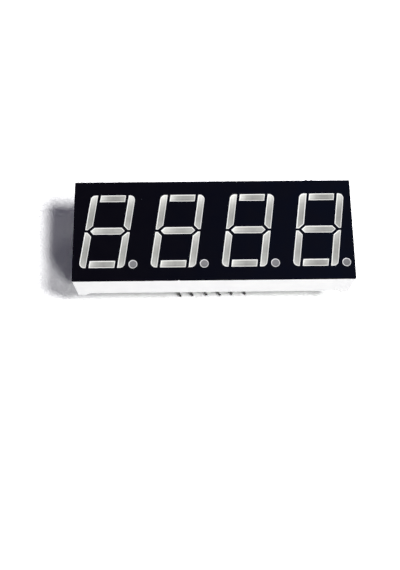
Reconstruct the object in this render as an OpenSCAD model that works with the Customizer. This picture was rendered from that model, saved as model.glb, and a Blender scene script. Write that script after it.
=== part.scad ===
// Four-digit seven-segment display module with decimal points, in millimetres.
// +X runs along the digits in reading order, +Y towards their tops and +Z out of the black face.
// The origin is the centre of the pin grid on the seating plane, which is the underside of the feet.

/* [Housing] */
// Length along the row of digits
body_l = 50.3; // [50.2:0.1:54]
// Width across the digits
body_w = 19; // [18.8:0.1:22]
// Height from the underside of the feet to the black face
body_h = 8; // [7.4:0.1:10]
// Side wall round the back pocket
wall_t = 0.8; // [0.6:0.05:0.85]
// Rounding of the upright outer corners
corner_r = 0.2; // [0.1:0.05:0.5]
// Rounding of the upright corners inside the back pocket
pocket_r = 0.5; // [0.2:0.1:1]
// Plastic left between the lightening pockets and the black layer
skin_t = 1; // [0.8:0.1:2]
// Plastic left between a lightening pocket and the light wells beside it
rib_t = 0.7; // [0.5:0.05:1]

/* [Feet] */
// Height of the corner feet
foot_h = 1; // [0.6:0.1:1.4]
// Length of a foot's flat underside along each wall
foot_l = 1.55; // [1.3:0.05:3]
// Length of the slope between a foot and the rim
foot_ramp = 0.8; // [0.4:0.1:2]

/* [Black layer] */
// Thickness of the black layer on the face
mask_t = 0.05; // [0.03:0.01:0.1]
// White land left bare round each light well
land_w = 0.13; // [0.08:0.01:0.16]

/* [Digits] */
// Distance from one digit to the next
digit_pitch = 12.7; // [12.4:0.05:12.7]
// Height of a digit
digit_h = 14.1; // [13.6:0.1:14.4]
// Width of a digit across its upright segments
digit_w = 8.2; // [7.8:0.1:8.4]
// Lean of the digits from upright, in degrees
slant = 7.75; // [0:0.25:9]
// Width of the two upright segments on each side
side_w = 1.36; // [1.3:0.02:1.6]
// Width of the three level segments
bar_w = 1.42; // [1.36:0.02:1.7]
// Black line between neighbouring segments
gap = 0.4; // [0.25:0.01:0.45]
// Black line between the upper and the lower upright segments
tip_gap = 0.34; // [0.2:0.02:0.4]
// Distance from the centre of a digit to the point of its middle segment
mid_reach = 3.18; // [3:0.02:3.3]
// Rounding of a digit's four outer corners
digit_r = 0.95; // [0.5:0.05:0.95]

/* [Decimal point] */
// Diameter of the decimal point
dot_d = 1.66; // [1.5:0.02:1.8]
// Distance from the centre of a digit to its decimal point, along the row
dot_x = 4.65; // [4.6:0.01:4.7]
// Height of the decimal point's centre above the foot of the digit
dot_rise = 0.71; // [0.6:0.01:1]

/* [Light wells] */
// Depth of a light well from the front of the housing to the board
well_h = 4.15; // [3.6:0.05:4.4]
// Width of a well's floor
floor_w = 0.84; // [0.82:0.02:0.9]
// Length of a well's floor
floor_l = 1.3; // [1.1:0.1:1.8]
// Straight lip at the mouth of a well, above its scooped ends
lip_h = 0.7; // [0.3:0.1:1.2]

/* [Board] */
// Thickness of the circuit board
board_t = 1.2; // [0.8:0.1:1.3]
// Room between the edge of the board and the walls of the pocket
board_room = 0.15; // [0.1:0.05:0.2]
// How far the back resin stays short of the rim
back_recess = 0.02; // [0.01:0.01:0.04]
// Thickness of the copper, which is let into the faces of the board
copper_t = 0.05; // [0.03:0.01:0.08]
// Width of a copper track
track_w = 0.2; // [0.15:0.01:0.22]
// Diameter of a plated link between the two faces of the board
via_d = 0.3; // [0.24:0.01:0.32]
// Copper left bare round a chip or the foot of a bond wire
pad_margin = 0.07; // [0.05:0.01:0.08]

/* [Light-emitting chips] */
// Side of a square chip
chip_w = 0.26; // [0.22:0.01:0.27]
// Height of a chip
chip_h = 0.12; // [0.1:0.01:0.2]
// Distance between the centre of a chip and the foot of its bond wire
wire_span = 0.5; // [0.44:0.01:0.51]
// Diameter of a bond wire
wire_d = 0.05; // [0.04:0.01:0.08]

/* [Pins] */
// Distance between neighbouring pins in a row
pin_pitch = 2.54; // [2.5:0.01:2.6]
// Distance between the two rows of pins
row_gap = 15.24; // [15.2:0.01:15.3]
// Diameter of a pin
pin_d = 0.5; // [0.45:0.01:0.55]
// Length of a pin below the seating plane
pin_free = 6.3; // [3:0.1:9]
// Chamfer at the tip of a pin
tip_chamfer = 0.12; // [0.05:0.01:0.15]
// Side of the square shank inside the resin and the board
shank_w = 0.6; // [0.58:0.01:0.62]
// Diameter of a pin's hole in the board
hole_d = 0.9; // [0.88:0.01:0.94]
// Diameter of the copper land round a pin's hole
land_d = 1.3; // [1.2:0.02:1.34]
// Height of a solder cone
cone_h = 0.5; // [0.3:0.05:0.6]

/* [Hidden] */
$fn = 48;
digits = 4;
pins_per_row = 6;
bars = ["a", "d", "g"];
segments = ["a", "b", "c", "d", "e", "f", "g"];
point = "decimal_point";
marks = concat(segments, [point]);
arc_steps = 8;
over = 0.05;
shank_cover = 0.03;

// Levels
front_z = body_h - mask_t;
board_z = front_z - well_h;
back_z = board_z - board_t;
resin_z = foot_h + back_recess;
shank_z = resin_z + shank_cover;
lip_z = front_z - lip_h;
core_z = front_z - skin_t;

// Half sizes and places in a digit that doesn't lean yet, from its centre
half_w = digit_w / 2;
half_h = digit_h / 2;
bar_half = half_w - side_w - gap;
side_half = (half_h - tip_gap / 2) / 2;
side_x = half_w - side_w / 2;
side_y = half_h - side_half;
bar_y = half_h - bar_w / 2;
bevel_sum = mid_reach + gap * sqrt(2);
dot_place = [dot_x, dot_rise - half_h];

// How far the walls of a well stand inside its window, at the board and at the front
floor_inset = (side_w - floor_w) / 2;
well_draft = floor_inset - land_w;

// Sizes in the back pocket
pocket_l = body_l - 2 * wall_t;
pocket_w = body_w - 2 * wall_t;
board_l = pocket_l - 2 * board_room;
board_w = pocket_w - 2 * board_room;

function well_name(d, m) = m == point ? str("digit", d, "_", m) : str("digit", d, "_segment_", m);
function chips_name(d) = str("digit", d, "_led_chips");
function wires_name(d) = str("digit", d, "_bond_wires");
function pin_name(n) = str("pin_", n);

// ---- Places

function is_bar(m) = len([for (b = bars) if (b == m) b]) > 0;
function side_of(m) = m == "b" || m == "c" ? 1 : m == "e" || m == "f" ? -1 : 0;
function level_of(m) = m == "g" ? 0 : m == "a" || m == "b" || m == "f" ? 1 : -1;
function lean(p) = [p.x + p.y * tan(slant), p.y];
function digit_x(d) = (d - (digits + 1) / 2) * digit_pitch;

// The middle of a mark's chip and bond wire
function mark_place(m) =
    m == point ? dot_place :
    is_bar(m) ? lean([0, level_of(m) * bar_y]) :
    lean([side_of(m) * side_x, level_of(m) * side_y]);

// The bond wires of the digit's rim point from their chips towards its middle
function wire_turn(m) =
    m == "d" ? 90 :
    side_of(m) > 0 ? 180 :
    side_of(m) < 0 ? 0 :
    -90;

// Pins are counted along the lower row from the left, then back along the upper row
function pin_place(n) =
    let (lower = n <= pins_per_row)
    let (column = lower ? n : 2 * pins_per_row + 1 - n)
    [(column - (pins_per_row + 1) / 2) * pin_pitch, (lower ? -1 : 1) * row_gap / 2];

// ---- Outlines: a corner is [x, y, rounding radius], in anticlockwise order

function unit(v) = v / norm(v);
function left_of(v) = [-v.y, v.x];
function flat(c) = [c.x, c.y];
function before(p, i) = p[(i + len(p) - 1) % len(p)];
function after(p, i) = p[(i + 1) % len(p)];
function box(x0, x1, y0, y1) = [[x0, y0, 0], [x1, y0, 0], [x1, y1, 0], [x0, y1, 0]];
function leaned(p) = [for (c = p) let (q = lean(c)) [q.x, q.y, c.z]];

function flipped(p, sx, sy) =
    let (n = len(p))
    [for (i = [0:n - 1]) let (c = p[sx * sy > 0 ? i : n - 1 - i]) [sx * c.x, sy * c.y, c.z]];

// From a corner to where its two edges meet once both have moved inwards by 1
function inward(a, b, c) =
    let (n = left_of(unit(flat(b) - flat(a))), m = left_of(unit(flat(c) - flat(b))))
    (n + m) / (1 + n * m);

function inset(p, d) =
    [for (i = [0:len(p) - 1])
        let (b = p[i], q = flat(b) + d * inward(before(p, i), b, after(p, i)))
        [q.x, q.y, max(b.z - d, 0)]];

// One point for a sharp corner, and an arc for a round one
function corner_points(a, b, c) =
    let (u = unit(flat(b) - flat(a)), v = unit(flat(c) - flat(b)))
    let (centre = flat(b) + b.z * inward(a, b, c))
    let (start = atan2(-u.x, u.y), turn = acos(u * v))
    b.z == 0 ? [flat(b)] :
    [for (k = [0:arc_steps]) let (t = start + turn * k / arc_steps) centre + b.z * [cos(t), sin(t)]];

function rounded(p) =
    [for (i = [0:len(p) - 1]) each corner_points(before(p, i), p[i], after(p, i))];

// The upper right upright segment: round at the digit's corner, bevelled beside the middle segment
upright = [
    [half_w, tip_gap / 2, 0],
    [half_w, half_h, digit_r],
    [half_w - side_w, half_h, 0],
    [half_w - side_w, bevel_sum - (half_w - side_w), 0],
    [bevel_sum - tip_gap / 2, tip_gap / 2, 0]
];

top_bar = box(-bar_half, bar_half, half_h - bar_w, half_h);

middle_bar = [
    [mid_reach, 0, 0],
    [mid_reach - bar_w / 2, bar_w / 2, 0],
    [bar_w / 2 - mid_reach, bar_w / 2, 0],
    [-mid_reach, 0, 0],
    [bar_w / 2 - mid_reach, -bar_w / 2, 0],
    [mid_reach - bar_w / 2, -bar_w / 2, 0]
];

function upright_outline(s) = flipped(upright, side_of(s), level_of(s));
function bar_outline(s) = s == "g" ? middle_bar : flipped(top_bar, 1, level_of(s));

// The finished outline of a segment, drawn in by d all round
function segment_outline(s, d = 0) =
    rounded(inset(leaned(is_bar(s) ? bar_outline(s) : upright_outline(s)), d));

// ---- Shared shapes

// A solid with flat sides between two outlines that have equally many points
module loft(low, high, z0, z1) {
    n = len(low);
    polyhedron(
        points = [for (p = low) [p.x, p.y, z0], for (p = high) [p.x, p.y, z1]],
        faces = [
            [for (i = [0:n - 1]) i],
            [for (i = [n - 1:-1:0]) n + i],
            for (i = [0:n - 1]) let (j = (i + 1) % n) [i, n + i, n + j, j]
        ]
    );
}

module round_plate(l, w, r) {
    square([l - 2 * r, w], center = true);
    square([l, w - 2 * r], center = true);
    for (sx = [-1, 1], sy = [-1, 1])
        translate([sx * (l / 2 - r), sy * (w / 2 - r)])
            circle(r);
}

module round_block(l, w, r, z0, z1) {
    translate([0, 0, z0])
        linear_extrude(z1 - z0)
            round_plate(l, w, r);
}

module block(l, w, z0, z1) {
    translate([-l / 2, -w / 2, z0])
        cube([l, w, z1 - z0]);
}

module at_digits() {
    for (d = [1:digits])
        at_digit(d)
            children();
}

module at_digit(d) {
    translate([digit_x(d), 0, 0])
        children();
}

module at_mark(m) {
    translate(mark_place(m))
        rotate(wire_turn(m))
            children();
}

module at_pins() {
    for (n = [1:2 * pins_per_row])
        translate(pin_place(n))
            children();
}

// ---- Light wells: side walls that lean in, between two scooped ends that rise from the chip

function wall_inset(z) = land_w + well_draft * (front_z - z) / well_h;
function scoop_half(z, mouth) = floor_l / 2 + (mouth - floor_l / 2) * (z - board_z) / (lip_z - board_z);

function scoop_outline(m, z) =
    let (mouth = m == "g" ? mid_reach : is_bar(m) ? bar_half : side_half)
    let (along = scoop_half(z, mouth))
    let (x = side_of(m) * side_x, y = level_of(m) * (is_bar(m) ? bar_y : side_y))
    let (hx = is_bar(m) ? along : side_w, hy = is_bar(m) ? bar_w : along)
    leaned(box(x - hx, x + hx, y - hy, y + hy));

module segment_well(m, z0, z1) {
    intersection() {
        loft(segment_outline(m, wall_inset(z0)), segment_outline(m, wall_inset(z1)), z0, z1);
        loft(scoop_outline(m, z0), scoop_outline(m, z1), z0, z1);
    }
}

module point_well(z0, z1) {
    mouth_r = dot_d / 2 - land_w;
    slope = (mouth_r - floor_w / 2) / well_h;
    translate([dot_place.x, dot_place.y, z0])
        cylinder(z1 - z0, mouth_r - slope * (front_z - z0), mouth_r - slope * (front_z - z1));
}

// The well of a mark, from the board to the front unless other heights are given
module light_well(m, z0 = board_z, z1 = front_z) {
    if (m == point)
        point_well(z0, z1);
    else
        segment_well(m, z0, z1);
}

// ---- Lightening pockets, open to the back and closed by the board

module core(outline) {
    low = leaned(outline);
    loft(low, inset(low, well_draft), board_z - over, core_z);
}

// The two white loops inside a digit
module digit_cores() {
    x = half_w - side_w - rib_t;
    y0 = bar_w / 2 + rib_t;
    y1 = half_h - bar_w - rib_t;
    core(box(-x, x, y0, y1));
    core(box(-x, x, -y1, -y0));
}

// The space between a digit and the next one, above the decimal point
module gap_core() {
    x = half_w + rib_t;
    core(box(x, digit_pitch - x, dot_place.y + dot_d / 2 + rib_t, half_h - rib_t));
}

// ---- Housing and its black layer

// Cuts the rim back between the feet on two opposite walls
module rim_cut(l, w) {
    x = l / 2 - foot_l;
    depth = w + 2 * over;
    translate([0, depth / 2, 0])
        rotate([90, 0, 0])
            linear_extrude(depth)
                polygon([
                    [-x, -over], [x, -over],
                    [x, 0], [x - foot_ramp, foot_h],
                    [foot_ramp - x, foot_h], [-x, 0]
                ]);
}

module reflector_housing() {
    color("white")
        difference() {
            round_block(body_l, body_w, corner_r, 0, front_z);
            round_block(pocket_l, pocket_w, pocket_r, -over, board_z);
            rim_cut(body_l, body_w);
            rotate(90)
                rim_cut(body_w, body_l);
            at_digits() {
                for (m = marks)
                    light_well(m, board_z - over, front_z + over);
                digit_cores();
            }
            for (d = [1:digits - 1])
                at_digit(d)
                    gap_core();
        }
}

module face_mask() {
    color([0.05, 0.05, 0.08])
        translate([0, 0, front_z])
            linear_extrude(mask_t)
                difference() {
                    round_plate(body_l, body_w, corner_r);
                    at_digits() {
                        for (s = segments)
                            polygon(segment_outline(s));
                        translate(dot_place)
                            circle(d = dot_d);
                    }
                }
}

// ---- Chips, bond wires and the resin cast over them

module chip(m) {
    at_mark(m)
        translate([-wire_span / 2 - chip_w / 2, -chip_w / 2, board_z])
            cube([chip_w, chip_w, chip_h]);
}

// An arch from the top of the chip down to the foot of the wire
module bond_wire(m) {
    at_mark(m)
        translate([0, 0, board_z]) {
            translate([0, 0, chip_h])
                rotate([90, 0, 0])
                    rotate_extrude(angle = 180)
                        translate([wire_span / 2, 0])
                            circle(d = wire_d);
            translate([wire_span / 2, 0, 0])
                cylinder(chip_h, d = wire_d);
        }
}

module led_chips(d) {
    color("gold")
        at_digit(d)
            for (m = marks)
                chip(m);
}

module bond_wires(d) {
    color("goldenrod")
        at_digit(d)
            for (m = marks)
                bond_wire(m);
}

module well_resin(d, m) {
    color([0.67, 0.67, 0.65])
        at_digit(d)
            difference() {
                light_well(m);
                chip(m);
                bond_wire(m);
            }
}

// ---- Copper. On the front, a loop joins all the bond wires of a digit. On the back, one straight
// ---- track for each mark joins that mark's chips in all the digits.

via_out = 0.45;
via_step = 0.5;
loop_half = [side_x - wire_span / 2, bar_y - wire_span / 2];

// Routes run up and down between the digits, in up to three columns side by side
between_x = digit_pitch;
column_step = 0.65;
row_y = row_gap / 2;

function turned(v, t) = [v.x * cos(t) - v.y * sin(t), v.x * sin(t) + v.y * cos(t)];
function chip_place(m) = mark_place(m) + turned([-wire_span / 2, 0], wire_turn(m));
function foot_place(m) = mark_place(m) + turned([wire_span / 2, 0], wire_turn(m));

// Each mark's link to the back has a level of its own, so that the tracks there never meet
function via_place(m) =
    chip_place(m) + (
        m == point || m == "g" ? [0, via_step] :
        is_bar(m) ? [-level_of(m) * (via_out + pad_margin), 0] :
        side_of(m) * [via_out, -via_step]
    );

function track_y(m) = via_place(m).y;

// Where a route joins the loop of digit d, on its left or right side at height y
function loop_edge(d, side, y) = [digit_x(d), 0] + lean([side * loop_half.x, y]);

// From each pin to the loop or the back track that it feeds
loop_routes = [
    [pin_place(12), [-between_x, row_y], [-between_x, 0], loop_edge(1, 1, 0)],
    [pin_place(9), [0, row_y], [0, 0], loop_edge(2, 1, 0)],
    [pin_place(8), [pin_place(8).x, loop_half.y], loop_edge(3, -1, loop_half.y)],
    [pin_place(6), [between_x, -row_y], [between_x, 0], loop_edge(4, -1, 0)]
];
under_digit_y = -row_y + land_d / 2 + track_w;
track_routes = [
    [pin_place(1), [-between_x, -row_y], [-between_x, track_y("e")]],
    [pin_place(3), [0, -row_y], [0, track_y(point)]],
    [pin_place(4), [column_step, -row_y], [column_step, track_y("c")]],
    [
        pin_place(5),
        [pin_place(5).x, under_digit_y],
        [2 * column_step, under_digit_y],
        [2 * column_step, track_y("g")]
    ],
    [pin_place(7), [between_x, row_y], [between_x, track_y("b")]],
    [pin_place(10), [pin_place(10).x, track_y("f")]]
];
back_routes = [
    [pin_place(2), [pin_place(2).x, track_y("d")]],
    [pin_place(11), [pin_place(11).x, track_y("a")]]
];

module track(p, q) {
    translate(p)
        rotate(atan2(q.y - p.y, q.x - p.x))
            translate([-track_w / 2, -track_w / 2])
                square([norm(q - p) + track_w, track_w]);
}

module route(points) {
    for (i = [1:len(points) - 1])
        track(points[i - 1], points[i]);
}

module common_loop() {
    corners = leaned(box(-loop_half.x, loop_half.x, -loop_half.y, loop_half.y));
    difference() {
        polygon([for (c = inset(corners, -track_w / 2)) flat(c)]);
        polygon([for (c = inset(corners, track_w / 2)) flat(c)]);
    }
    cross_y = foot_place("g").y;
    track(lean([-loop_half.x, cross_y]), lean([loop_half.x, cross_y]));
    track(foot_place(point), lean([loop_half.x, -loop_half.y]));
}

module mark_pads(m) {
    translate(chip_place(m))
        square(chip_w + 2 * pad_margin, center = true);
    translate(foot_place(m))
        square(track_w + 2 * pad_margin, center = true);
    translate(via_place(m))
        circle(d = via_d);
    track(chip_place(m), via_place(m));
}

module pin_lands() {
    difference() {
        union() {
            at_pins()
                circle(d = land_d);
            children();
        }
        at_pins()
            circle(d = hole_d);
    }
}

module front_copper() {
    color("darkorange")
        translate([0, 0, board_z - copper_t])
            linear_extrude(copper_t)
                pin_lands() {
                    at_digits() {
                        common_loop();
                        for (m = marks)
                            mark_pads(m);
                    }
                    for (r = concat(loop_routes, track_routes))
                        route(r);
                    for (r = track_routes)
                        translate(r[len(r) - 1])
                            circle(d = via_d);
                }
}

module back_copper() {
    color("darkorange") {
        translate([0, 0, back_z])
            linear_extrude(copper_t)
                pin_lands() {
                    for (m = marks)
                        track([digit_x(1), 0] + via_place(m), [digit_x(digits), 0] + via_place(m));
                    for (r = back_routes)
                        route(r);
                    vias();
                }
        translate([0, 0, back_z])
            linear_extrude(board_t - copper_t)
                vias();
    }
}

module vias() {
    at_digits()
        for (m = marks)
            translate(via_place(m))
                circle(d = via_d);
    for (r = track_routes)
        translate(r[len(r) - 1])
            circle(d = via_d);
}

// ---- Board, solder, back resin and pins

module circuit_board() {
    color("darkseagreen")
        difference() {
            block(board_l, board_w, back_z, board_z);
            at_pins()
                translate([0, 0, back_z - over])
                    cylinder(board_t + 2 * over, d = hole_d);
            front_copper();
            back_copper();
        }
}

module shank() {
    block(shank_w, shank_w, shank_z, board_z);
}

module solder_joint() {
    translate([0, 0, back_z - cone_h])
        cylinder(cone_h, d1 = hole_d, d2 = land_d);
    translate([0, 0, back_z])
        cylinder(board_t, d = hole_d);
}

module solder_joints() {
    color("silver")
        at_pins()
            difference() {
                solder_joint();
                shank();
            }
}

module back_resin() {
    color([0.85, 0.85, 0.8])
        difference() {
            round_block(pocket_l, pocket_w, pocket_r, resin_z, board_z);
            block(board_l, board_w, back_z, board_z + over);
            at_pins() {
                solder_joint();
                pin();
            }
        }
}

module pin() {
    color("silver") {
        translate([0, 0, -pin_free])
            cylinder(tip_chamfer, d1 = pin_d - 2 * tip_chamfer, d2 = pin_d);
        translate([0, 0, tip_chamfer - pin_free])
            cylinder(shank_z + pin_free - tip_chamfer, d = pin_d);
        shank();
    }
}

reflector_housing();
face_mask();
for (d = [1:digits]) for (m = marks) well_resin(d, m);
circuit_board();
front_copper();
back_copper();
for (d = [1:digits]) led_chips(d);
for (d = [1:digits]) bond_wires(d);
solder_joints();
back_resin();
for (n = [1:2 * pins_per_row]) translate(pin_place(n)) pin();
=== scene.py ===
import math

import bmesh
import bpy
from mathutils import Matrix, Vector, noise


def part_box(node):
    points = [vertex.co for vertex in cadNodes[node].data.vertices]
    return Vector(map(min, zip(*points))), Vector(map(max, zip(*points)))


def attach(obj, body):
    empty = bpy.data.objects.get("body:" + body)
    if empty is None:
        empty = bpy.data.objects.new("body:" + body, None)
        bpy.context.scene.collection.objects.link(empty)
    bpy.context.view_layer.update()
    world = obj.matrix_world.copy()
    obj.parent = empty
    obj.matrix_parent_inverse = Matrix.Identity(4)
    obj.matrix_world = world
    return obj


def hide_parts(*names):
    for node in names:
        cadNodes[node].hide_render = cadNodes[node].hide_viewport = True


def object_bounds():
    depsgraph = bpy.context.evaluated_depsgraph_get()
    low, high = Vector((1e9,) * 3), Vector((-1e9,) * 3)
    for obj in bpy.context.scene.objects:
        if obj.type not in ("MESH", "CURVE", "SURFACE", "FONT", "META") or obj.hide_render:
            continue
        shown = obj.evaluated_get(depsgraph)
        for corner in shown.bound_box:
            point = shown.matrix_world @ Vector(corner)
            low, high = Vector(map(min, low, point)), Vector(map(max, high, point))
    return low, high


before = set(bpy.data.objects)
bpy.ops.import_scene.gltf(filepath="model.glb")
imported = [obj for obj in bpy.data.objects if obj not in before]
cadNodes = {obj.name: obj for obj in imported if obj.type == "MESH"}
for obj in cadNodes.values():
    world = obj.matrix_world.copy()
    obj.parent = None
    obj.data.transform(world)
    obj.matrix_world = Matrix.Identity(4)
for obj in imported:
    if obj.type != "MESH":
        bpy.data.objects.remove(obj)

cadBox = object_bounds()
print("frame:", len(cadNodes), "solids loaded")

# All lengths below are in metres, and the dictionaries give small ones as so many times mm.
mm = 0.001
scene = bpy.context.scene
scene.view_settings.view_transform = "Standard"

digitCount = 4
segmentNames = "abcdefg"
pinCount = 12
housingLow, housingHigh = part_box("reflector_housing")
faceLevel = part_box("face_mask")[1].z


# Camera, in front and steeply above, aimed at the near edge of the face a little left of its middle
camera = {
    "aim": (-2.52 * mm, -10.37 * mm),   # the point of the face that the camera looks at
    "distance": 141.66 * mm,
    "azimuth": -1.67,
    "elevation": 72.3,
    "roll": 0.98,
    "lens": 50.72,
    "sensor": 36,
    "nearest": 1 * mm,
    "furthest": 10,
}


def makeCamera(values):
    azimuth = math.radians(values["azimuth"])
    elevation = math.radians(values["elevation"])
    back = Vector((math.sin(azimuth) * math.cos(elevation),
                   -math.cos(azimuth) * math.cos(elevation),
                   math.sin(elevation)))
    data = bpy.data.cameras.new("camera")
    data.lens = values["lens"]
    data.sensor_width = values["sensor"]
    data.clip_start = values["nearest"]
    data.clip_end = values["furthest"]
    holder = bpy.data.objects.new("camera", data)
    turn = (-back).to_track_quat("-Z", "Y").to_matrix()
    roll = Matrix.Rotation(math.radians(values["roll"]), 3, "Z")
    holder.matrix_world = (turn @ roll).to_4x4()
    holder.location = Vector((*values["aim"], faceLevel)) + back * values["distance"]
    scene.collection.objects.link(holder)
    scene.camera = holder


makeCamera(camera)
print("camera: made")


# Shader helpers: a node with its settings and inputs in one call, and chains of them
def addNode(tree, kind, inputs=None, **settings):
    node = tree.nodes.new("ShaderNode" + kind)
    for name, value in settings.items():
        setattr(node, name, value)
    for name, value in (inputs or {}).items():
        if isinstance(value, bpy.types.NodeSocket):
            tree.links.new(value, node.inputs[name])
        else:
            node.inputs[name].default_value = value
    return node


def addMath(tree, operation, *values):
    return addNode(tree, "Math", dict(enumerate(values)), operation=operation).outputs["Value"]


def addRange(tree, value, low, high, toLow=0.0, toHigh=1.0, smooth=True, clamp=True):
    node = addNode(tree, "MapRange", {
        "Value": value, "From Min": low, "From Max": high, "To Min": toLow, "To Max": toHigh,
    }, interpolation_type="SMOOTHSTEP" if smooth else "LINEAR", clamp=clamp)
    return node.outputs["Result"]


def addSpread(tree, pattern, low, high, smooth=True):
    # Noise stays mostly between 0.3 and 0.7, and this spreads it from low to high
    return addRange(tree, pattern, 0.3, 0.7, low, high, smooth=smooth)


def addMix(tree, factor, first, second, blend="MIX"):
    # A Mix node has sockets for numbers, vectors and colours: 6, 7 and output 2 are those for colours
    node = addNode(tree, "Mix", {0: factor, 6: first, 7: second}, data_type="RGBA", blend_type=blend)
    return node.outputs[2]


def addNoise(tree, vector, scale, detail=2.0, roughness=0.5):
    node = addNode(tree, "TexNoise", {
        "Vector": vector, "Scale": scale, "Detail": detail, "Roughness": roughness,
    })
    return node.outputs[0]


def addRamp(tree, value, stops):
    node = addNode(tree, "ValToRGB", {0: value})
    ramp = node.color_ramp
    while len(ramp.elements) < len(stops):
        ramp.elements.new(0.5)
    for element, (place, tone) in zip(ramp.elements, stops):
        element.position = place
        element.color = (tone, tone, tone, 1)
    return node.outputs["Color"]


def addStretch(tree, vector, scale):
    return addNode(tree, "Mapping", {"Vector": vector, "Scale": scale}).outputs["Vector"]


def addBump(tree, height, distance):
    return addNode(tree, "Bump", {"Height": height, "Distance": distance}).outputs["Normal"]


def newMaterial(name):
    material = bpy.data.materials.new(name)
    material.use_nodes = True
    tree = material.node_tree
    tree.nodes.clear()
    output = addNode(tree, "OutputMaterial")
    return material, tree, output


def newFinish(name, **shading):
    material, tree, output = newMaterial(name)
    shader = addNode(tree, "BsdfPrincipled", shading)
    tree.links.new(shader.outputs["BSDF"], output.inputs["Surface"])
    objectPlace = addNode(tree, "TexCoord").outputs["Object"]
    return material, tree, shader, objectPlace


def newGroup(name, inputs, outputs):
    tree = bpy.data.node_groups.new(name, "ShaderNodeTree")
    for label, kind, value in inputs:
        kind = "NodeSocket" + kind
        socket = tree.interface.new_socket(name=label, in_out="INPUT", socket_type=kind)
        if value is not None:
            socket.default_value = value
    for label, kind in outputs:
        tree.interface.new_socket(name=label, in_out="OUTPUT", socket_type="NodeSocket" + kind)
    source = tree.nodes.new("NodeGroupInput").outputs
    target = tree.nodes.new("NodeGroupOutput").inputs
    return tree, source, target


def useGroup(tree, group, **inputs):
    return addNode(tree, "Group", inputs, node_tree=group).outputs


def grey(tone):
    return (tone, tone, tone, 1)


# Studio: three lamps from above on the right, and two low ones for the walls that leave the floor alone.
# A lamp's share is the part of full light that it gives: on level ground for the first three, and on a
# surface that faces it for the other two.
studio = {
    "lamps": {
        "key": {"toward": (0.56, -0.17, 1.0), "share": 0.73, "size": (205 * mm, 250 * mm)},
        "front": {"toward": (0.52, -0.76, 1.0), "share": 0.19, "size": (150 * mm, 150 * mm)},
        "rear": {"toward": (0.58, 0.78, 1.0), "share": 0.034, "size": (230 * mm, 230 * mm)},
    },
    "wallLamps": {
        "fill": {"toward": (-0.1, -1.0, 0.12), "share": 0.635, "size": (430 * mm, 430 * mm)},
        "back": {"toward": (-0.15, 1.0, 0.12), "share": 0.34, "size": (430 * mm, 430 * mm)},
    },
    "lampDistance": 800 * mm,
    "roomLight": 0.015, "roomTint": (0.92, 0.72, 1.9, 1),
    "floorSize": 1200 * mm, "fibreScale": 2400.0, "grain": 0.18,
    # Tone of the floor for the light that it throws back, in metal and glass, and as the camera sees it
    "floorTone": 0.6, "floorMirrored": 1.0, "floorSeen": 1.76,
    "fadeFrom": 70 * mm, "fadeTo": 130 * mm,   # the floor turns plain white between these distances
}


def makeLamp(name, direction, share, distance, size):
    data = bpy.data.lights.new(name, "AREA")
    data.shape = "ELLIPSE"
    data.size, data.size_y = size
    data.energy = math.pi ** 2 * distance ** 2 * share   # full light on a surface that faces the lamp
    lamp = bpy.data.objects.new(name, data)
    lamp.rotation_mode = "QUATERNION"
    lamp.rotation_quaternion = direction.to_track_quat("Z", "Y")
    lamp.location = direction * distance
    scene.collection.objects.link(lamp)
    return lamp


def spareFloor(lamp, floor):
    # Light linking: this lamp lights the object and leaves the floor and its shadow alone
    group = bpy.data.collections.new(lamp.name + "Spares")
    group.objects.link(floor)
    group.collection_objects[0].light_linking.link_state = "EXCLUDE"
    lamp.light_linking.receiver_collection = group


def makeLamps(values, floor):
    distance = values["lampDistance"]
    for name, lamp in values["lamps"].items():
        direction = Vector(lamp["toward"]).normalized()
        makeLamp(name + "Lamp", direction, lamp["share"] / direction.z, distance, lamp["size"])
    for name, lamp in values["wallLamps"].items():
        direction = Vector(lamp["toward"]).normalized()
        spareFloor(makeLamp(name + "Lamp", direction, lamp["share"], distance, lamp["size"]), floor)


def seenDirectly(tree):
    # Whether a ray comes from the camera, straight or by way of metal, gloss or glass
    path = addNode(tree, "LightPath").outputs
    seen = addMath(tree, "MAXIMUM", path["Is Camera Ray"], path["Is Glossy Ray"])
    return addMath(tree, "MAXIMUM", seen, path["Is Transmission Ray"])


def makeRoom(values):
    room = bpy.data.worlds.new("room")
    scene.world = room
    room.use_nodes = True
    tree = room.node_tree
    tree.nodes.clear()
    light = addNode(tree, "Background", {"Color": values["roomTint"], "Strength": values["roomLight"]})
    white = addNode(tree, "Background", {"Color": grey(1), "Strength": 1.0})
    mixed = addNode(tree, "MixShader", {0: seenDirectly(tree), 1: light.outputs[0], 2: white.outputs[0]})
    addNode(tree, "OutputWorld", {"Surface": mixed.outputs[0]})


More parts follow.
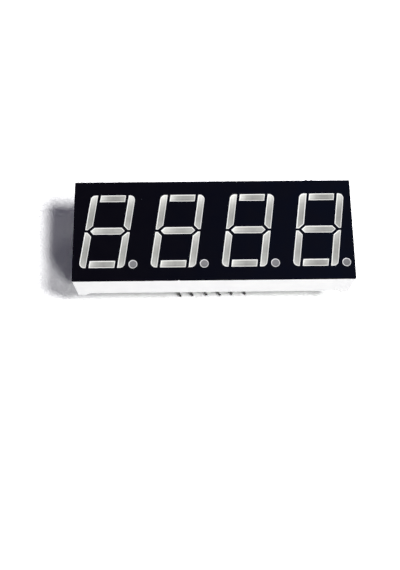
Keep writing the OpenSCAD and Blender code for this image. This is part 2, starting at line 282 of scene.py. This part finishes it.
def makeFloor(values):
    bm = bmesh.new()
    bmesh.ops.create_grid(bm, x_segments=1, y_segments=1, size=values["floorSize"] / 2)
    bmesh.ops.translate(bm, verts=bm.verts, vec=(0, 0, cadBox[0].z))
    mesh = bpy.data.meshes.new("studioFloor")
    bm.to_mesh(mesh)
    bm.free()
    floor = bpy.data.objects.new("studioFloor", mesh)
    scene.collection.objects.link(floor)

    material, tree, output = newMaterial("floorPaper")
    mesh.materials.append(material)
    seen = seenDirectly(tree)
    inCamera = addNode(tree, "LightPath").outputs["Is Camera Ray"]
    place = addNode(tree, "TexCoord").outputs["Object"]
    grain = values["grain"]
    fibres = addNoise(tree, place, values["fibreScale"])
    speckled = addSpread(tree, fibres, 1 - grain, 1 + grain, smooth=False)
    grainy = addMath(tree, "MULTIPLY", speckled, values["floorSeen"])
    plain = addMix(tree, seen, grey(values["floorTone"]), grey(values["floorMirrored"]))
    paper = addNode(tree, "BsdfDiffuse", {"Color": addMix(tree, inCamera, plain, grainy)})
    white = addNode(tree, "Emission", {"Color": grey(1), "Strength": 1.0})
    away = addNode(tree, "VectorMath", {0: place}, operation="LENGTH").outputs["Value"]
    far = addMath(tree, "MULTIPLY", seen, addRange(tree, away, values["fadeFrom"], values["fadeTo"]))
    above = addNode(tree, "MixShader", {0: far, 1: paper.outputs[0], 2: white.outputs[0]})
    clear = addNode(tree, "BsdfTransparent")
    below = addNode(tree, "NewGeometry").outputs["Backfacing"]   # from below the floor is clear
    both = addNode(tree, "MixShader", {0: below, 1: above.outputs[0], 2: clear.outputs[0]})
    tree.links.new(both.outputs[0], output.inputs["Surface"])
    return floor


makeRoom(studio)
makeLamps(studio, makeFloor(studio))
print("studio: lamps, room and floor made")


# Shared effects
def makeMouldGrain():
    # The fine matt texture that a moulded or printed surface takes from its tool
    tree, source, target = newGroup("mouldGrain", [
        ("Place", "Vector", None), ("Scale", "Float", 9000.0), ("Patch Scale", "Float", 260.0),
    ], [("Height", "Float"), ("Patch", "Float")])
    fine = addNoise(tree, source["Place"], source["Scale"], detail=3.0)
    patch = addNoise(tree, source["Place"], source["Patch Scale"], detail=4.0, roughness=0.6)
    height = addMath(tree, "MULTIPLY_ADD", fine, 0.8, addMath(tree, "MULTIPLY", patch, 0.2))
    tree.links.new(height, target["Height"])
    tree.links.new(addRange(tree, patch, 0.35, 0.65), target["Patch"])
    return tree


def makeDust():
    # Sparse specks: one in each cell of a Voronoi pattern, and only in the few cells of low value
    tree, source, target = newGroup("dustSpecks", [
        ("Place", "Vector", None), ("Scale", "Float", 500.0),
        ("Size", "Float", 0.12), ("Share", "Float", 0.05),
    ], [("Mask", "Float")])
    cells = addNode(tree, "TexVoronoi", {"Vector": source["Place"], "Scale": source["Scale"]})
    pick = addNode(tree, "SeparateColor", {0: cells.outputs["Color"]}).outputs[0]
    rare = addMath(tree, "LESS_THAN", pick, source["Share"])
    near = addRange(tree, cells.outputs["Distance"], 0.0, source["Size"], 1.0, 0.0)
    tree.links.new(addMath(tree, "MULTIPLY", rare, near), target["Mask"])
    return tree


def makeDrawnLines():
    # The fine lengthwise lines that drawing leaves on wire, along Z, with slow patches of tarnish
    tree, source, target = newGroup("drawnLines", [
        ("Place", "Vector", None), ("Scale", "Float", 5000.0), ("Stretch", "Vector", (1.0, 1.0, 0.03)),
    ], [("Height", "Float"), ("Tarnish", "Float")])
    stretched = addStretch(tree, source["Place"], source["Stretch"])
    tree.links.new(addNoise(tree, stretched, source["Scale"]), target["Height"])
    slow = addNoise(tree, source["Place"], 900.0, detail=3.0)
    tree.links.new(addRange(tree, slow, 0.45, 0.7), target["Tarnish"])
    return tree


mouldGrain = makeMouldGrain()
dustSpecks = makeDust()
drawnLines = makeDrawnLines()


# Pieces made from a copy of a CAD node
mergeGap = 0.0005 * mm
levelNormal = 0.99   # a face that points up more than this is level


def mergedCopy(node):
    copy = cadNodes[node].data.copy()
    if "custom_normal" in copy.attributes:
        copy.attributes.remove(copy.attributes["custom_normal"])   # it would shade the new faces wrongly
    bm = bmesh.new()
    bm.from_mesh(copy)
    bpy.data.meshes.remove(copy)
    bmesh.ops.remove_doubles(bm, verts=bm.verts, dist=mergeGap)
    return bm


def finishPiece(bm, name, material, node):
    for face in bm.faces:
        face.smooth = False
    mesh = bpy.data.meshes.new(name)
    bm.to_mesh(mesh)
    bm.free()
    mesh.materials.clear()
    mesh.materials.append(material)
    piece = bpy.data.objects.new(name, mesh)
    scene.collection.objects.link(piece)
    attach(piece, "root")
    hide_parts(node)
    return piece


def boxMiddle(node):
    low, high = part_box(node)
    return (low + high) / 2


def digitLean(digit):
    rise = boxMiddle(f"digit{digit}_segment_a") - boxMiddle(f"digit{digit}_segment_d")
    return rise.x / rise.y


# Housing: white moulded plastic, matt from its tool, with faint cool patches and a little dust
housing = {
    "tone": (0.90, 0.90, 0.89, 1), "patchTone": (0.87, 0.87, 0.87, 1),
    "dustTone": (0.55, 0.53, 0.50, 1), "dustCover": 0.5, "dustShare": 0.02,
    "roughness": (0.49, 0.61), "grainDepth": 0.006 * mm,
}


def makeHousingPlastic(values):
    material, tree, shader, place = newFinish("whiteMouldedPlastic", **{
        "Specular IOR Level": 0.35, "IOR": 1.53,
    })
    grain = useGroup(tree, mouldGrain, Place=place)
    colour = addMix(tree, grain["Patch"], values["tone"], values["patchTone"])
    dust = useGroup(tree, dustSpecks, Place=place, Share=values["dustShare"])
    cover = addMath(tree, "MULTIPLY", dust["Mask"], values["dustCover"])
    tree.links.new(addMix(tree, cover, colour, values["dustTone"]), shader.inputs["Base Color"])
    tree.links.new(addSpread(tree, grain["Height"], *values["roughness"]), shader.inputs["Roughness"])
    tree.links.new(addBump(tree, grain["Height"], values["grainDepth"]), shader.inputs["Normal"])
    return material


def dress(node, material):
    for slot in cadNodes[node].material_slots:
        slot.material = material


dress("reflector_housing", makeHousingPlastic(housing))
print("housing: white plastic")


# Black layer: matt ink with a painted bluish reflection that grows towards the right, and sparse dust
ink = {
    "leftTone": (0.0012, 0.0010, 0.0030, 1), "rightReflectionTone": (0.0012, 0.0020, 0.0065, 1),
    "patchTone": (0.0024, 0.0022, 0.0044, 1), "patchCover": 0.4,
    "dustTone": (0.10, 0.11, 0.13, 1), "dustScale": 330.0, "dustSize": 0.07, "dustShare": 0.03,
    "roughness": (0.42, 0.58), "grainScale": 6000.0, "grainDepth": 0.004 * mm,
    "creep": 0.045 * mm,   # how much smaller the windows are on each side
    "step": 0.12 * mm, "rounding": 0.25 * mm,   # between points of the outline, and the reach of its corners
    "overhang": 0.065 * mm, "rearward": 0.045 * mm,   # how far the edge stands out, and the print sits back
    "wander": 0.02 * mm, "wanderScale": 900.0,
    "speck": (-12.96 * mm, 6.17 * mm, 0.09 * mm),   # one larger speck of dust: place and radius
    # Where the edge was printed short or over: place along it, near edge (-1) or far edge (1),
    # how far outwards, over what length
    "slips": (
        (17.2 * mm, 1, 0.18 * mm, 0.12 * mm), (18.2 * mm, 1, 0.16 * mm, 0.12 * mm),
        (-17.0 * mm, 1, 0.05 * mm, 0.3 * mm), (-6.25 * mm, -1, -0.13 * mm, 0.12 * mm),
    ),
}


def makeInk(values):
    material, tree, shader, place = newFinish("mattBlackInk", **{"Specular IOR Level": 0.02, "IOR": 1.5})
    # Painted reflection: the ink turns bluer towards the right
    across = addNode(tree, "SeparateXYZ", {0: place}).outputs["X"]
    side = addRange(tree, across, housingLow.x, housingHigh.x)
    colour = addMix(tree, side, values["leftTone"], values["rightReflectionTone"])
    grain = useGroup(tree, mouldGrain, Place=place, Scale=values["grainScale"])
    cover = addMath(tree, "MULTIPLY", grain["Patch"], values["patchCover"])
    patchy = addMix(tree, cover, colour, values["patchTone"])
    dust = useGroup(tree, dustSpecks, Place=place, Scale=values["dustScale"],
                    Size=values["dustSize"], Share=values["dustShare"])
    x, y, radius = values["speck"]
    gap = addNode(tree, "VectorMath", {0: place, 1: (x, y, faceLevel)}, operation="DISTANCE")
    speck = addRange(tree, gap.outputs["Value"], radius, 0.0)
    dusty = addMath(tree, "MAXIMUM", dust["Mask"], speck)
    tree.links.new(addMix(tree, dusty, patchy, values["dustTone"]), shader.inputs["Base Color"])
    tree.links.new(addSpread(tree, grain["Height"], *values["roughness"]), shader.inputs["Roughness"])
    tree.links.new(addBump(tree, grain["Height"], values["grainDepth"]), shader.inputs["Normal"])
    return material


def edgeStray(point, values, low, high):
    # How far outwards the printed edge strays at a point of the face's outline
    stray = values["overhang"] + noise.noise(point * values["wanderScale"]) * values["wander"]
    for x, side, slip, reach in values["slips"]:
        gap = (point.xy - Vector((x, low.y if side < 0 else high.y))).length
        stray += slip * math.exp(-(gap / reach) ** 2)
    return stray


def makeInkFace(values):
    # The top sheet of the layer alone, its windows filled so that they can be made smaller
    low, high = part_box("face_mask")
    bm = mergedCopy("face_mask")
    rest = [f for f in bm.faces if f.normal.z < levelNormal]
    bmesh.ops.delete(bm, geom=rest, context="FACES")
    top = set(bm.faces)
    bmesh.ops.holes_fill(bm, edges=[e for e in bm.edges if e.is_boundary], sides=0)
    windows = [f for f in bm.faces if f not in top]
    outline = max(windows, key=lambda f: f.calc_area())
    windows.remove(outline)
    bmesh.ops.delete(bm, geom=[outline], context="FACES_ONLY")
    bmesh.ops.inset_individual(bm, faces=windows, thickness=values["creep"], use_even_offset=True)
    bmesh.ops.delete(bm, geom=windows, context="FACES_ONLY")
    bmesh.ops.recalc_face_normals(bm, faces=bm.faces)

    # Its outline, cut fine and moved out to where the ink ends
    def atSide(vert):
        return min(vert.co.x - low.x, high.x - vert.co.x) < values["rounding"]

    def atLongEdge(vert):
        return min(vert.co.y - low.y, high.y - vert.co.y) < values["rounding"]

    def atOutline(vert):
        return atSide(vert) or atLongEdge(vert)

    for edge in [e for e in bm.edges if e.is_boundary and all(atOutline(v) for v in e.verts)]:
        cuts = int(edge.calc_length() / values["step"])
        if cuts > 0:
            bmesh.ops.subdivide_edges(bm, edges=[edge], cuts=cuts)
    middle = (low + high) / 2
    for vert in [v for v in bm.verts if atOutline(v)]:
        stray = edgeStray(vert.co, values, low, high)
        if atSide(vert):
            vert.co.x += stray * math.copysign(1, vert.co.x - middle.x)
        if atLongEdge(vert):
            vert.co.y += stray * math.copysign(1, vert.co.y - middle.y) + values["rearward"]

    # Its thickness and underside
    extruded = bmesh.ops.extrude_face_region(bm, geom=bm.faces[:])["geom"]
    underside = [v for v in extruded if isinstance(v, bmesh.types.BMVert)]
    bmesh.ops.translate(bm, verts=underside, vec=(0, 0, low.z - high.z))
    bmesh.ops.recalc_face_normals(bm, faces=bm.faces)
    bmesh.ops.triangulate(bm, faces=[f for f in bm.faces if len(f.verts) > 4])
    finishPiece(bm, "printed_ink_face", makeInk(values), "face_mask")


makeInkFace(ink)
print("face: black ink")


# Light wells: resin cast flush with the front, sunk a little where it shrank. Painted shade and light
# follow the depth of the white scoop under it: shade over the chip, light where the scoop runs out.
wells = {
    "topDepth": 0.01 * mm,   # level faces no deeper than this are the top
    # The top sinks ring by ring, from the outside in: how wide each ring is and how far it sinks
    "rings": ((0.04 * mm, 0.010 * mm), (0.06 * mm, 0.010 * mm), (0.10 * mm, 0.006 * mm)),
    # Painted light and shade along each kind of segment, from its left or far end: place and tone
    "shades": {
        "top": ((0.0, 0.76), (0.14, 0.59), (0.28, 0.40), (0.5, 0.305), (0.75, 0.31), (1.0, 0.43)),
        "middle": ((0.0, 0.88), (0.13, 0.63), (0.27, 0.50), (0.45, 0.40), (0.65, 0.365), (1.0, 0.45)),
        "bottom": ((0.0, 0.74), (0.12, 0.54), (0.25, 0.43), (0.55, 0.305), (0.8, 0.335), (1.0, 0.45)),
        "upper": ((0.0, 0.84), (0.18, 0.60), (0.30, 0.47), (0.5, 0.36), (0.7, 0.31), (1.0, 0.44)),
        "lower": ((0.0, 0.68), (0.17, 0.49), (0.4, 0.38), (0.6, 0.34), (0.83, 0.41), (1.0, 0.62)),
        "point": ((0.0, 0.19), (1.0, 0.18)),
    },
    "shadeOf": {"a": "top", "g": "middle", "d": "bottom", "f": "upper", "b": "upper",
                "e": "lower", "c": "lower", "point": "point"},
    "bars": ("a", "d", "g", "point"),   # lie across the digit, so their tone runs from left to right
    "tint": (0.995, 1.0, 0.945, 1), "pointTint": (0.985, 0.98, 1.03, 1),
    # Painted light over the row: the tone is highest in mid-row and falls off towards both ends
    "rowMiddle": -4 * mm, "rowReach": 23 * mm, "rowLightGain": 1.065, "rowLightFall": -0.147,   # paler in mid-row
    # Pale rim: the white land round each well, its paleness partly painted light
    "rimTone": 1.0, "pointRim": 0.56, "rimWidth": 0.13 * mm,
    # Painted shade at the near side of a bar and right side of an upright, on the rim and a line beside it
    "shadedSide": (0.55, 0.95), "rimShadeLoss": 0.12,
    "shadeLineFrom": 0.08 * mm, "shadeLineTo": 0.18 * mm, "shadeLineLoss": 0.2,
    "streakStretch": (1.1, 16.0, 1.0), "streakShift": (37.0, 53.0, 1.0), "streakSpread": 0.07,
    "cloudScale": 420.0, "cloudSpread": 0.05, "speckleScale": 2600.0, "speckleSpread": 0.05,
    "roughness": 0.38, "grainDepth": 0.004 * mm,
}


def makeCastTone(values):
    # Resin colour from painted lengthwise shade: streaks and clouds, a pale rim, painted shade on one side
    tree, source, target = newGroup("castTone", [
        ("Shade", "Color", grey(0.5)), ("Tint", "Color", grey(1)),
        ("Place", "Vector", None), ("Along", "Vector", None), ("Edge", "Float", 0.0),
        ("Rim Width", "Float", values["rimWidth"]), ("Rim Tone", "Float", values["rimTone"]),
    ], [("Color", "Color"), ("Height", "Float")])
    place = source["Place"]
    stretched = addStretch(tree, source["Along"], values["streakStretch"])
    shift = addStretch(tree, place, values["streakShift"])   # streaks of their own for each segment
    shifted = addNode(tree, "VectorMath", {0: stretched, 1: shift}, operation="ADD").outputs["Vector"]
    streak = addNoise(tree, shifted, 1.0)
    cloud = addNoise(tree, place, values["cloudScale"], detail=3.0, roughness=0.6)
    speckle = addNoise(tree, place, values["speckleScale"], detail=1.0)
    wobble = 1.0
    for pattern, name in ((streak, "streakSpread"), (cloud, "cloudSpread"), (speckle, "speckleSpread")):
        swing = addSpread(tree, pattern, -values[name], values[name], smooth=False)
        wobble = addMath(tree, "ADD", wobble, swing)
    shade = addNode(tree, "SeparateColor", {0: source["Shade"]}).outputs[0]
    streaky = addMath(tree, "MULTIPLY", shade, wobble)
    # Painted shade on one side of the segment: a darker rim and a dark line beside the rim
    across = addNode(tree, "SeparateXYZ", {0: source["Along"]}).outputs["Y"]
    shaded = addRange(tree, across, *values["shadedSide"])
    beside = addRange(tree, source["Edge"], values["shadeLineFrom"], values["shadeLineTo"])
    line = addMath(tree, "MULTIPLY", shaded, beside)
    kept = addMath(tree, "MULTIPLY_ADD", line, -values["shadeLineLoss"], 1.0)
    lined = addMath(tree, "MULTIPLY", streaky, kept)
    # Pale rim: the white land round the well, its paleness partly painted light
    rim = addRange(tree, source["Edge"], source["Rim Width"], 0.0)
    rimKept = addMath(tree, "MULTIPLY_ADD", shaded, -values["rimShadeLoss"], 1.0)
    rimTone = addMath(tree, "MULTIPLY", source["Rim Tone"], rimKept)
    tone = addNode(tree, "Mix", {0: rim, 2: lined, 3: rimTone}, data_type="FLOAT").outputs[0]
    tree.links.new(addMix(tree, 1.0, tone, source["Tint"], blend="MULTIPLY"), target["Color"])
    tree.links.new(addMath(tree, "ADD", streak, cloud), target["Height"])
    return tree


castTone = makeCastTone(wells)


def makeCastResin(kind, values):
    isPoint = kind == "point"
    material, tree, shader, place = newFinish(kind + "WellResin", **{
        "Specular IOR Level": 0.4, "IOR": 1.52, "Roughness": values["roughness"],
    })
    along = addNode(tree, "UVMap", uv_map="along").outputs["UV"]
    edge = addNode(tree, "Attribute", attribute_name="edge").outputs["Fac"]
    length = addNode(tree, "SeparateXYZ", {0: along}).outputs["X"]
    # Painted light falloff across the row, paler in the middle
    across = addNode(tree, "SeparateXYZ", {0: place}).outputs["X"]
    away = addRange(tree, across, values["rowMiddle"], values["rowMiddle"] + values["rowReach"],
                    smooth=False, clamp=False)
    squared = addMath(tree, "MULTIPLY", away, away)
    paintedRowLight = addMath(tree, "MULTIPLY_ADD", squared, values["rowLightFall"], values["rowLightGain"])
    # Painted shade and light along the segment, from the shades table
    shade = addMix(tree, 1.0, addRamp(tree, length, values["shades"][kind]), paintedRowLight, blend="MULTIPLY")
    cast = useGroup(tree, castTone, **{
        "Shade": shade, "Tint": values["pointTint"] if isPoint else values["tint"],
        "Place": place, "Along": along, "Edge": edge,
        "Rim Tone": values["pointRim"] if isPoint else values["rimTone"],
    })
    tree.links.new(cast["Color"], shader.inputs["Base Color"])
    tree.links.new(addBump(tree, cast["Height"], values["grainDepth"]), shader.inputs["Normal"])
    return material


def castWell(digit, mark, node, material, values):
    bm = mergedCopy(node)
    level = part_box(node)[1].z - values["topDepth"]
    top = [f for f in bm.faces if f.normal.z > levelNormal and f.calc_center_median().z > level]
    surface = bmesh.ops.dissolve_faces(bm, faces=top)["region"]
    edgeLayer = bm.verts.layers.float.new("edge")   # how far in from the rim
    ringEdge = 0
    for width, depth in values["rings"]:
        bmesh.ops.inset_region(bm, faces=surface, thickness=width, depth=-depth, use_even_offset=True)
        ringEdge += width
        for face in surface:
            for vert in face.verts:
                vert[edgeLayer] = ringEdge

    middle = boxMiddle(f"digit{digit}_segment_g")
    lean = digitLean(digit)

    def upright(point):
        # Place in the digit as if it stood straight
        return Vector((point.x - middle.x - (point.y - middle.y) * lean, point.y - middle.y))

    places = [upright(v.co) for v in bm.verts]
    low = Vector((min(p.x for p in places), min(p.y for p in places)))
    high = Vector((max(p.x for p in places), max(p.y for p in places)))
    isBar = mark in values["bars"]
    uvLayer = bm.loops.layers.uv.new("along")
    for face in bm.faces:
        for loop in face.loops:
            place = upright(loop.vert.co)
            fromLeft = (place.x - low.x) / (high.x - low.x)
            fromTop = (high.y - place.y) / (high.y - low.y)
            loop[uvLayer].uv = (fromLeft, fromTop) if isBar else (fromTop, fromLeft)
    finishPiece(bm, f"digit{digit}_cast_{mark}", material, node)


def makeWells(values):
    kinds = {kind: makeCastResin(kind, values) for kind in values["shades"]}
    for digit in range(1, digitCount + 1):
        for mark in (*segmentNames, "point"):
            node = f"digit{digit}_decimal_point" if mark == "point" else f"digit{digit}_segment_{mark}"
            castWell(digit, mark, node, kinds[values["shadeOf"][mark]], values)


makeWells(wells)
print("light wells: cast resin")


# Pins: drawn wire with a tin coat, painted shade darkening the tips, the six in front each bent a little
pins = {
    "tone": (0.60, 0.59, 0.57, 1), "tarnish": (0.34, 0.33, 0.31, 1), "tipShadeTone": (0.030, 0.028, 0.026, 1),
    "tipShadeFrom": 4.2 * mm, "tipShadeTo": 1.5 * mm,   # above the tip
    "tarnishCover": 0.6, "tarnishInTipShade": 0.35, "tipShadeSpread": (0.25, 1.1),
    "roughness": (0.20, 0.38), "lineDepth": 0.004 * mm,
    "rings": 16, "hookPower": 9, "sharpFrom": 30,   # cuts below the board, how sudden the hook is, degrees
    # Each bent pin, in mm at its tip: how far it leans to the right, how far its end hooks to the right,
    # and how far back it stands. Below 0 it goes to the left or forward.
    "bends": {
        1: (-0.42, 0.62, -0.34), 2: (-0.50, 0.44, -0.27), 3: (-0.42, 0.58, -0.15),
        4: (-0.40, 0.62, -0.22), 5: (-0.42, 0.38, -0.12), 6: (-0.42, 0.40, -0.05),
    },
}


def makeTinnedWire(values):
    material, tree, shader, place = newFinish("tinnedWire", Metallic=1.0)
    lines = useGroup(tree, drawnLines, Place=place)
    tarnish = addMath(tree, "MULTIPLY", lines["Tarnish"], values["tarnishCover"])
    tinned = addMix(tree, tarnish, values["tone"], values["tarnish"])
    # Painted shade: near black towards the tip, patchy where the tarnish lies
    height = addNode(tree, "SeparateXYZ", {0: place}).outputs["Z"]
    tip = cadBox[0].z
    nearTip = addRange(tree, height, tip + values["tipShadeFrom"], tip + values["tipShadeTo"])
    patchy = addMath(tree, "MULTIPLY_ADD", lines["Tarnish"], values["tarnishInTipShade"], nearTip)
    tipShade = addRange(tree, patchy, *values["tipShadeSpread"])
    tree.links.new(addMix(tree, tipShade, tinned, values["tipShadeTone"]), shader.inputs["Base Color"])
    tree.links.new(addSpread(tree, lines["Height"], *values["roughness"]), shader.inputs["Roughness"])
    tree.links.new(addBump(tree, lines["Height"], values["lineDepth"]), shader.inputs["Normal"])
    return material


def bendPin(number, material, values):
    node = f"pin_{number}"
    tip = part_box(node)[0].z
    lean, hook, back = (bend * mm for bend in values["bends"][number])
    bm = mergedCopy(node)
    for ring in range(1, values["rings"]):
        level = Vector((0, 0, tip * ring / values["rings"]))
        bmesh.ops.bisect_plane(bm, geom=bm.verts[:] + bm.edges[:] + bm.faces[:],
                               plane_co=level, plane_no=(0, 0, 1))
    for vert in bm.verts:
        if vert.co.z < 0:
            down = vert.co.z / tip
            vert.co.x += lean * down ** 2 + hook * down ** values["hookPower"]
            vert.co.y += back * down ** 2
    piece = finishPiece(bm, f"bent_pin_{number}", material, node)
    for polygon in piece.data.polygons:
        polygon.use_smooth = True
    piece.data.set_sharp_from_angle(angle=math.radians(values["sharpFrom"]))


tinnedWire = makeTinnedWire(pins)
for number in range(1, pinCount + 1):
    if number in pins["bends"]:
        bendPin(number, tinnedWire, pins)
    else:
        dress(f"pin_{number}", tinnedWire)
print("pins: tinned wire, six of them bent")


# Board: green laminate with its glass weave, copper, solder, chips and bond wires
board = {
    "tone": (0.16, 0.30, 0.13, 1), "weaveTone": (0.24, 0.40, 0.20, 1),
    "weavePitch": 0.5 * mm, "weaveCover": 0.6, "patchCover": 0.4,
    "roughness": (0.35, 0.55), "weaveDepth": 0.004 * mm,
}
metals = {
    "copperFoil": {"tone": (0.80, 0.48, 0.28, 1), "dull": (0.48, 0.26, 0.15, 1),
                   "patchScale": 1500.0, "roughness": (0.25, 0.5), "relief": 0.01 * mm},
    "solderCone": {"tone": (0.68, 0.68, 0.68, 1), "dull": (0.40, 0.40, 0.41, 1),
                   "patchScale": 2500.0, "roughness": (0.2, 0.45), "relief": 0.01 * mm},
    "chipDie": {"tone": (0.62, 0.50, 0.22, 1), "dull": (0.16, 0.13, 0.08, 1),
                "patchScale": 6000.0, "roughness": (0.3, 0.5), "relief": 0.01 * mm},
    "bondGold": {"tone": (0.95, 0.72, 0.32, 1), "dull": (0.70, 0.50, 0.20, 1),
                 "patchScale": 5000.0, "roughness": (0.15, 0.35), "relief": 0.01 * mm},
}


def makeLaminate(values):
    material, tree, shader, place = newFinish("boardLaminate", **{"Specular IOR Level": 0.4})
    turns = 2 * math.pi / values["weavePitch"]
    axes = addNode(tree, "SeparateXYZ", {0: place}).outputs
    warp = addMath(tree, "SINE", addMath(tree, "MULTIPLY", axes["X"], turns))
    weft = addMath(tree, "SINE", addMath(tree, "MULTIPLY", axes["Y"], turns))
    weave = addMath(tree, "MULTIPLY", warp, weft)
    grain = useGroup(tree, mouldGrain, Place=place)
    threads = addRange(tree, weave, -1, 1, 0, values["weaveCover"])
    mixed = addMath(tree, "MULTIPLY_ADD", grain["Patch"], values["patchCover"], threads)
    tree.links.new(addMix(tree, mixed, values["tone"], values["weaveTone"]), shader.inputs["Base Color"])
    tree.links.new(addSpread(tree, grain["Height"], *values["roughness"]), shader.inputs["Roughness"])
    tree.links.new(addBump(tree, weave, values["weaveDepth"]), shader.inputs["Normal"])
    return material


def makeMetal(name, values):
    material, tree, shader, place = newFinish(name, Metallic=1.0)
    patch = addNoise(tree, place, values["patchScale"], detail=4.0, roughness=0.6)
    dulled = addMix(tree, addRange(tree, patch, 0.4, 0.65), values["tone"], values["dull"])
    tree.links.new(dulled, shader.inputs["Base Color"])
    tree.links.new(addRange(tree, patch, 0.35, 0.7, *values["roughness"]), shader.inputs["Roughness"])
    tree.links.new(addBump(tree, patch, values["relief"]), shader.inputs["Normal"])
    return material


finishes = {name: makeMetal(name, values) for name, values in metals.items()}
dress("circuit_board", makeLaminate(board))
dress("front_copper", finishes["copperFoil"])
dress("back_copper", finishes["copperFoil"])
dress("solder_joints", finishes["solderCone"])
for digit in range(1, digitCount + 1):
    dress(f"digit{digit}_led_chips", finishes["chipDie"])
    dress(f"digit{digit}_bond_wires", finishes["bondGold"])
print("board: laminate, copper, solder, chips and wires")


# Back resin: cloudy epoxy poured over the board, hollow in the middle and drawn up at the walls and pins
backResin = {
    "cell": 0.35 * mm, "sink": 0.16 * mm, "wallReach": 0.8 * mm,
    "pinRise": 0.22 * mm, "pinReach": 0.45 * mm,
    "keyIn": 0.02 * mm,   # how far it reaches into the wall on each side
    "tone": (0.96, 0.94, 0.86, 1), "cloudTone": (0.88, 0.86, 0.80, 1), "cloudScale": 180.0,
    "clear": 0.88, "roughness": (0.05, 0.15), "rippleScale": 420.0, "rippleDepth": 0.03 * mm,
}


def makeBackResinFinish(values):
    material, tree, shader, place = newFinish("cloudyBackResin", **{
        "Transmission Weight": values["clear"], "IOR": 1.5, "Specular IOR Level": 0.5,
    })
    cloud = addNoise(tree, place, values["cloudScale"], detail=4.0, roughness=0.6)
    cloudy = addMix(tree, addRange(tree, cloud, 0.35, 0.7), values["tone"], values["cloudTone"])
    tree.links.new(cloudy, shader.inputs["Base Color"])
    tree.links.new(addSpread(tree, cloud, *values["roughness"]), shader.inputs["Roughness"])
    ripple = addNoise(tree, place, values["rippleScale"], detail=1.0)
    tree.links.new(addBump(tree, ripple, values["rippleDepth"]), shader.inputs["Normal"])
    return material


def makeBackResin(values):
    # A box made from a grid, which is the poured surface, and its rim raised and closed at the front
    low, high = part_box("back_resin")
    middle = (low + high) / 2
    size = high - low + Vector((2, 2, 0)) * values["keyIn"]
    columns, rows = round(size.x / values["cell"]), round(size.y / values["cell"])
    bm = bmesh.new()
    bmesh.ops.create_grid(bm, x_segments=columns, y_segments=rows, size=0.5)
    bmesh.ops.scale(bm, verts=bm.verts, vec=(size.x, size.y, 1))
    bmesh.ops.translate(bm, verts=bm.verts, vec=(middle.x, middle.y, low.z))
    surface = list(bm.verts)
    walls = bmesh.ops.extrude_edge_only(bm, edges=[e for e in bm.edges if e.is_boundary])["geom"]
    rim = [v for v in walls if isinstance(v, bmesh.types.BMVert)]
    bmesh.ops.translate(bm, verts=rim, vec=(0, 0, high.z - low.z))
    bmesh.ops.contextual_create(bm, geom=[e for e in bm.edges if e.is_boundary])
    bmesh.ops.recalc_face_normals(bm, faces=bm.faces)

    # The surface sinks in the middle and is drawn up at the walls and round each pin
    pinMiddles = [boxMiddle(f"pin_{number}").xy for number in range(1, pinCount + 1)]
    for vert in surface:
        fromWall = min(vert.co.x - low.x, high.x - vert.co.x, vert.co.y - low.y, high.y - vert.co.y)
        hollow = 1 - math.exp(-max(fromWall, 0) / values["wallReach"])
        vert.co.z += values["sink"] * hollow
        for pin in pinMiddles:
            fromPin = (vert.co.xy - pin).length
            vert.co.z -= values["pinRise"] * math.exp(-(fromPin / values["pinReach"]) ** 2) * hollow

    piece = finishPiece(bm, "poured_back_resin", makeBackResinFinish(values), "back_resin")
    for polygon in piece.data.polygons:
        polygon.use_smooth = abs(polygon.normal.z) > 0.5


makeBackResin(backResin)
print("back: poured resin")
